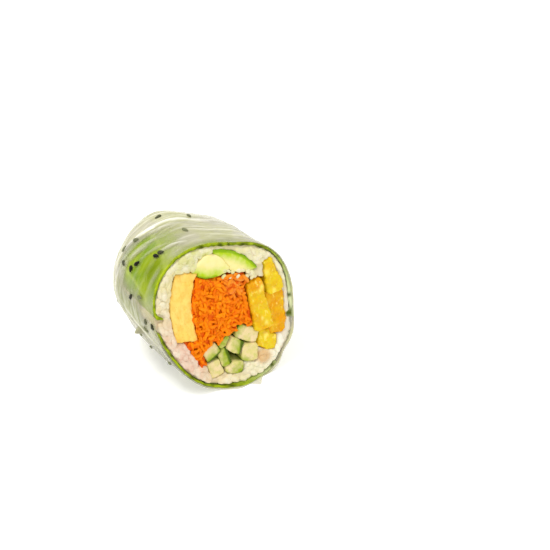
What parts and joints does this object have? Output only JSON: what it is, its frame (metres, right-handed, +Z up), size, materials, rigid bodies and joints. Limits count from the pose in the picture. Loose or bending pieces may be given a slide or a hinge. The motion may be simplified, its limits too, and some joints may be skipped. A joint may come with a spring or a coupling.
{
  "type": "rice paper roll half",
  "caption": "Half of a rice paper roll cut across, lying on its side, with a green leaf, rice, carrot, egg, avocado, mango and cucumber showing at the cut.",
  "frame": {"origin": "on the surface the roll rests on, under the middle of its bounding box", "axes": "+Z up, the cut face looks towards -Y and leans back, the closed end is towards +Y"},
  "size_m": [0.0606, 0.0585, 0.0542],
  "materials": {
    "rice_paper": "moist, glossy and translucent",
    "leaf": "soft leaf with pale ribs",
    "rice": "moist cooked grains",
    "omelette": "soft cooked egg with fine pores",
    "carrot": "moist shreds",
    "avocado": "smooth soft flesh, greener towards its rind",
    "mango": "wet and slightly clear",
    "cucumber": "moist flesh with a dark green rind"
  },
  "bodies": {
    "root": {"omelette": "omelette", "avocado_lower": "avocado", "avocado_upper": "avocado", "mango_left": "mango", "mango_right": "mango", "mango_top": "mango", "mango_low": "mango", "cucumber_1": "cucumber", "cucumber_2": "cucumber", "cucumber_3": "cucumber", "cucumber_4": "cucumber", "cucumber_5": "cucumber", "cucumber_6": "cucumber", "cucumber_7": "cucumber", "cucumber_8": "cucumber", "carrot": "carrot", "rice": "rice", "leaf_upper": "leaf", "leaf_lower": "leaf", "rice_paper": "rice_paper"}
  },
  "joints": []
}
